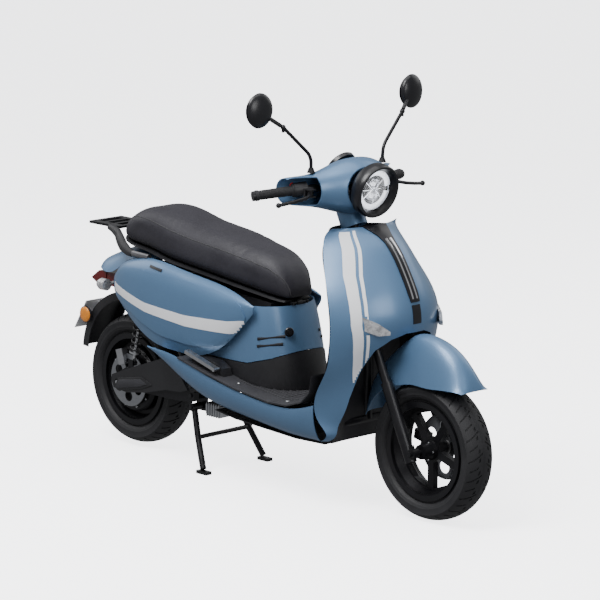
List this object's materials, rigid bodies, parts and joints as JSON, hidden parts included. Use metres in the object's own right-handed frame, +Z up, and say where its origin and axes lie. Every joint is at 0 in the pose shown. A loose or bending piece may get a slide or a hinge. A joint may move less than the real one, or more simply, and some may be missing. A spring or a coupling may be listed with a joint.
{
  "type": "moped scooter",
  "caption": "Step-through electric moped scooter with a long seat, rear rack, centre stand, flat floor, hub-motor rear wheel and a telescopic front fork.",
  "frame": {"origin": "on the ground, midway between the front of the front tyre and the lower edge of the number plate, on the centre plane", "axes": "+X forward, +Y to the rider's left, +Z up"},
  "size_m": [1.974, 0.8018, 1.3959],
  "materials": {
    "body_paint": "satin blue-grey paint",
    "black_plastic": "satin moulded black",
    "black_metal": "satin black",
    "frame_paint": "black powder coat",
    "aluminium": "cast and machined",
    "steel": "bright",
    "chrome": "polished",
    "tyre": "moulded tread",
    "rubber": "moulded grip",
    "seat_cover": "black vinyl",
    "clear_lens": "clear",
    "red_lens": "red",
    "mirror": "mirror",
    "red_plastic": "gloss",
    "white_plastic": "matt",
    "spring_paint": "black"
  },
  "bodies": {
    "root": {"front_apron": "body_paint", "inner_leg_shield": "black_plastic", "floor_board": "black_plastic", "side_skirts": "body_paint", "belly_pan": "black_plastic", "battery_pack": "aluminium", "motor_controller": "aluminium", "main_frame": "frame_paint", "rear_subframe": "frame_paint", "pivot_bolts": "steel", "steering_bearings": "steel", "seat_post_cowl": "body_paint", "seat_post_base": "black_plastic", "side_covers": "body_paint", "tail_cowl": "body_paint", "tail_light": "red_lens", "signal_lamps": "clear_lens", "rear_fender": "black_plastic", "number_plate": "white_plastic", "storage_tub": "black_plastic", "luggage_rack": "black_metal"},
    "steering": {"fork_yoke": "black_metal", "front_fender": "body_paint", "handlebar": "black_metal", "handlebar_cowl": "body_paint", "headlight_bezel": "black_plastic", "headlight_unit": "black_plastic", "left_grip": "rubber", "bar_controls": "black_plastic", "mirror_stems": "black_metal"},
    "fork_lower": {"fork_sliders": "black_metal", "front_caliper": "aluminium"},
    "front_wheel": {"front_tyre": "tyre", "front_rim": "black_metal", "front_disc": "steel"},
    "rear_swing": {"swingarm": "black_metal", "swingarm_cover": "black_plastic", "rear_caliper": "aluminium", "motor_stator": "steel"},
    "rear_wheel": {"rear_tyre": "tyre", "rear_rim": "black_metal", "rear_disc": "steel"},
    "stand": {"centre_stand": "frame_paint"},
    "seat": {"seat_cushion": "seat_cover", "seat_base": "black_plastic"},
    "throttle": {"throttle_grip": "rubber"},
    "lever_left": {"brake_lever_left": "black_metal"},
    "lever_right": {"brake_lever_right": "black_metal"},
    "mirror_left": {"mirror_left": "mirror"},
    "mirror_right": {"mirror_right": "mirror"},
    "footpeg_left": {"footpeg_left": "aluminium"},
    "footpeg_right": {"footpeg_right": "aluminium"},
    "kill_switch": {"kill_switch": "red_plastic"},
    "horn_button": {"horn_button": "black_plastic"},
    "signal_switch": {"signal_switch": "black_plastic"},
    "seat_lock": {"seat_lock": "chrome"},
    "ignition_lock": {"ignition_lock": "chrome"},
    "shock_upper": {"shock_bodies": "black_metal", "shock_springs": "spring_paint"},
    "shock_lower": {"shock_rods": "chrome"}
  },
  "joints": [
    {"name": "steering", "type": "hinge", "parent": "root", "child": "steering", "pos_m": [0.44659, 0, 0.79175], "axis": [-0.4226, 0, 0.9063], "range_deg": [-38, 38]},
    {"name": "fork_slide", "type": "slide", "parent": "steering", "child": "fork_lower", "axis": [-0.4226, 0, 0.9063], "range_m": [0, 0.05], "stiffness_N_per_m": 15000, "springref_m": -0.04},
    {"name": "front_wheel_spin", "type": "hinge", "parent": "fork_lower", "child": "front_wheel", "pos_m": [0.753, 0, 0.234], "axis": [0, 1, 0], "continuous": true},
    {"name": "swingarm_pivot", "type": "hinge", "parent": "root", "child": "rear_swing", "pos_m": [-0.315, 0, 0.255], "axis": [0, 1, 0], "range_deg": [0, 9], "stiffness_Nm_per_rad": 2400, "springref_deg": -4.58},
    {"name": "rear_wheel_spin", "type": "hinge", "parent": "rear_swing", "child": "rear_wheel", "pos_m": [-0.697, 0, 0.243], "axis": [0, 1, 0], "continuous": true},
    {"name": "centre_stand_pivot", "type": "hinge", "parent": "root", "child": "stand", "pos_m": [-0.311, 0, 0.214], "axis": [0, 1, 0], "range_deg": [0, 84]},
    {"name": "seat_hinge", "type": "hinge", "parent": "root", "child": "seat", "pos_m": [0.118, 0, 0.634], "axis": [0, 1, 0], "range_deg": [0, 60]},
    {"name": "throttle_twist", "type": "hinge", "parent": "steering", "child": "throttle", "pos_m": [0.2865, -0.272, 1.058], "axis": [-0.4161, -0.9051, -0.0876], "range_deg": [0, 70], "stiffness_Nm_per_rad": 0.3, "springref_deg": -17.19},
    {"name": "brake_lever_left_pull", "type": "hinge", "parent": "steering", "child": "lever_left", "pos_m": [0.368, 0.188, 1.058], "axis": [0, 0, 1], "range_deg": [0, 16], "stiffness_Nm_per_rad": 3, "springref_deg": -8.59},
    {"name": "brake_lever_right_pull", "type": "hinge", "parent": "steering", "child": "lever_right", "pos_m": [0.368, -0.188, 1.058], "axis": [0, 0, -1], "range_deg": [0, 16], "stiffness_Nm_per_rad": 3, "springref_deg": -8.59},
    {"name": "mirror_left_turn", "type": "hinge", "parent": "steering", "child": "mirror_left", "pos_m": [0.33, 0.274, 1.28], "axis": [0, 0, 1], "range_deg": [-25, 25]},
    {"name": "mirror_right_turn", "type": "hinge", "parent": "steering", "child": "mirror_right", "pos_m": [0.33, -0.274, 1.28], "axis": [0, 0, 1], "range_deg": [-25, 25]},
    {"name": "footpeg_left_fold", "type": "hinge", "parent": "root", "child": "footpeg_left", "pos_m": [-0.20531, 0.217, 0.44165], "axis": [0.2609, 0, 0.9654], "range_deg": [0, 90]},
    {"name": "footpeg_right_fold", "type": "hinge", "parent": "root", "child": "footpeg_right", "pos_m": [-0.20531, -0.217, 0.44165], "axis": [-0.2609, 0, -0.9654], "range_deg": [0, 90]},
    {"name": "kill_switch_press", "type": "slide", "parent": "steering", "child": "kill_switch", "axis": [0.866, 0, -0.5], "range_m": [0, 0.003], "stiffness_N_per_m": 800, "springref_m": -0.002},
    {"name": "horn_button_press", "type": "slide", "parent": "steering", "child": "horn_button", "axis": [0.9063, 0, 0.4226], "range_m": [0, 0.003], "stiffness_N_per_m": 800, "springref_m": -0.002},
    {"name": "signal_switch_press", "type": "slide", "parent": "steering", "child": "signal_switch", "axis": [0.866, 0, -0.5], "range_m": [0, 0.003], "stiffness_N_per_m": 800, "springref_m": -0.002},
    {"name": "seat_lock_turn", "type": "hinge", "parent": "root", "child": "seat_lock", "pos_m": [0.1355, -0.067, 0.543], "axis": [0.9186, -0.3952, 0], "range_deg": [0, 90]},
    {"name": "ignition_turn", "type": "hinge", "parent": "root", "child": "ignition_lock", "pos_m": [0.346, -0.07, 0.85], "axis": [-0.8874, -0.2471, -0.3892], "range_deg": [-90, 0]},
    {"name": "shock_tilt", "type": "hinge", "parent": "root", "child": "shock_upper", "pos_m": [-0.575, 0, 0.606], "axis": [0, 1, 0], "range_deg": [-2, 1]},
    {"name": "shock_stroke", "type": "slide", "parent": "shock_upper", "child": "shock_lower", "axis": [0.2202, 0, 0.9755], "range_m": [-0.002, 0.06], "deforming": ["shock_springs"]}
  ],
  "couplings": [
    {"joint": "shock_tilt", "follows": "swingarm_pivot", "ratio": -0.06525},
    {"joint": "shock_stroke", "follows": "swingarm_pivot", "m_per_rad": 0.33025}
  ]
}
